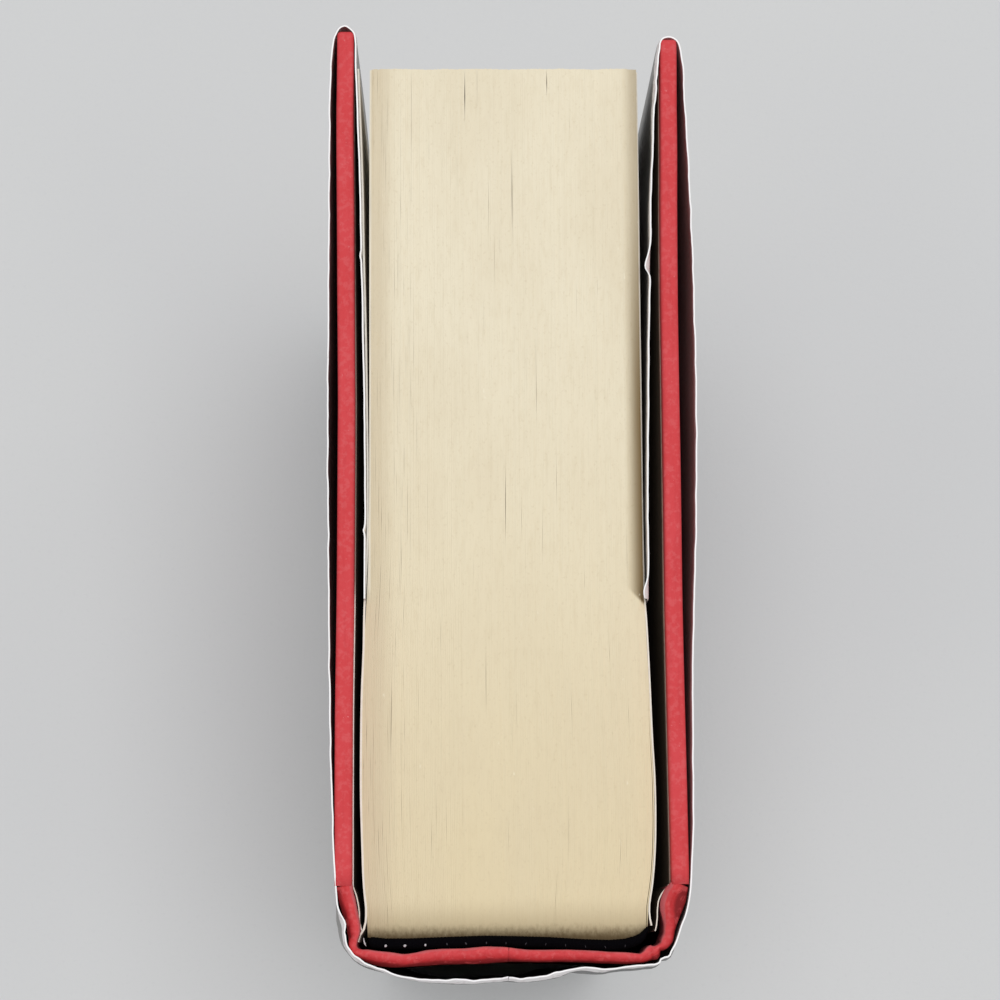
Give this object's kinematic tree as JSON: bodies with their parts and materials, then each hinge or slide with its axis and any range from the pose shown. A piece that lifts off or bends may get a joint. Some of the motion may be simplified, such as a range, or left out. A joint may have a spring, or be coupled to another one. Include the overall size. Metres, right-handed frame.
{
  "type": "hardback book",
  "caption": "Thick hardback book in a slack dust jacket, standing on its tail edge: trimmed text block, worked bands, endpapers and covered boards that hinge at the spine.",
  "frame": {"origin": "middle of the book's footprint, on the surface that its tail edge stands on", "axes": "+Z from tail to head, +Y from the spine to the fore-edge, +X towards the front cover"},
  "size_m": [0.0654, 0.1702, 0.2414],
  "materials": {
    "pages": "cream uncoated book paper, trimmed edge",
    "endpaper": "off-white uncoated endpaper",
    "binders_board": "grey board",
    "red_covering": "red covering paper with a fine embossed grain",
    "lining_paper": "dark crepe lining",
    "band_cloth": "black woven band with pale stitches",
    "jacket_paper": "coated paper, dark outside and white inside"
  },
  "bodies": {
    "book_block": {"text_block": "pages", "spine_lining": "lining_paper", "headband": "band_cloth", "tailband": "band_cloth", "spine_board": "binders_board", "spine_cover_paper": "red_covering", "front_flyleaf": "endpaper", "back_flyleaf": "endpaper", "front_endpaper_hinge": "endpaper", "back_endpaper_hinge": "endpaper", "jacket_spine": "jacket_paper"},
    "front_cover": {"front_board": "binders_board", "front_cover_paper": "red_covering", "front_pastedown": "endpaper", "jacket_front": "jacket_paper"},
    "back_cover": {"back_board": "binders_board", "back_cover_paper": "red_covering", "back_pastedown": "endpaper", "jacket_back": "jacket_paper"}
  },
  "joints": [
    {"name": "front_cover_hinge", "type": "hinge", "parent": "book_block", "child": "front_cover", "pos_m": [0.0256, -0.0765, 0.1207], "axis": [0, 0, -1], "range_deg": [0, 178], "deforming": ["spine_cover_paper", "jacket_spine", "front_endpaper_hinge"]},
    {"name": "back_cover_hinge", "type": "hinge", "parent": "book_block", "child": "back_cover", "pos_m": [-0.0272, -0.0765, 0.1207], "axis": [0, 0, 1], "range_deg": [0, 178], "deforming": ["spine_cover_paper", "jacket_spine", "back_endpaper_hinge"]}
  ]
}
